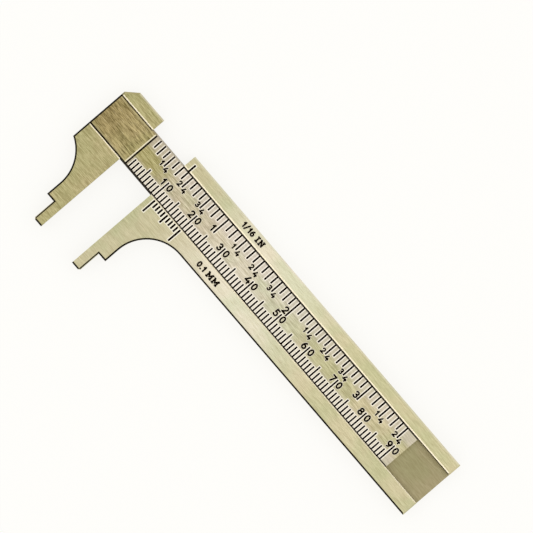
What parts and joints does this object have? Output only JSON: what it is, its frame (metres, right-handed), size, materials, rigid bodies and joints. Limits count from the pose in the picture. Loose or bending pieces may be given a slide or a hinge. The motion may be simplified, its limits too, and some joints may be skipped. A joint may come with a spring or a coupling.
{
  "type": "pocket vernier caliper",
  "caption": "Flat brass pocket caliper: a graduated beam with a head and jaw slides in the dovetail channel of a body that has the other jaw and a vernier.",
  "frame": {"origin": "on the flat back of the body, on the centre line of the beam, under the zero line of the vernier", "axes": "+X along the beam, away from the head; +Y across the beam to the inch side, away from the jaws; +Z out of the graduated face"},
  "size_m": [0.1159, 0.0375, 0.004],
  "materials": {
    "body_brass": "brushed along its length",
    "head_brass": "brushed along its length",
    "beam_brass": "satin scale, brushed block",
    "black_enamel": "black enamel rubbed into engraved lines",
    "pin_brass": "filed flush",
    "pin_steel": "filed flush",
    "spring_bronze": "rolled strip"
  },
  "bodies": {
    "body": {"body": "body_brass", "friction_spring": "spring_bronze", "stop_pin": "pin_steel", "vernier_scale_fill": "black_enamel", "inch_index_fill": "black_enamel"},
    "slide": {"beam": "beam_brass", "head": "head_brass", "head_pin_rear": "pin_brass", "head_pin_front": "pin_brass", "millimetre_scale_fill": "black_enamel", "inch_scale_fill": "black_enamel"}
  },
  "joints": [
    {"name": "beam_slide", "type": "slide", "parent": "body", "child": "slide", "axis": [-1, 0, 0], "range_m": [-0.011, 0.069]}
  ]
}
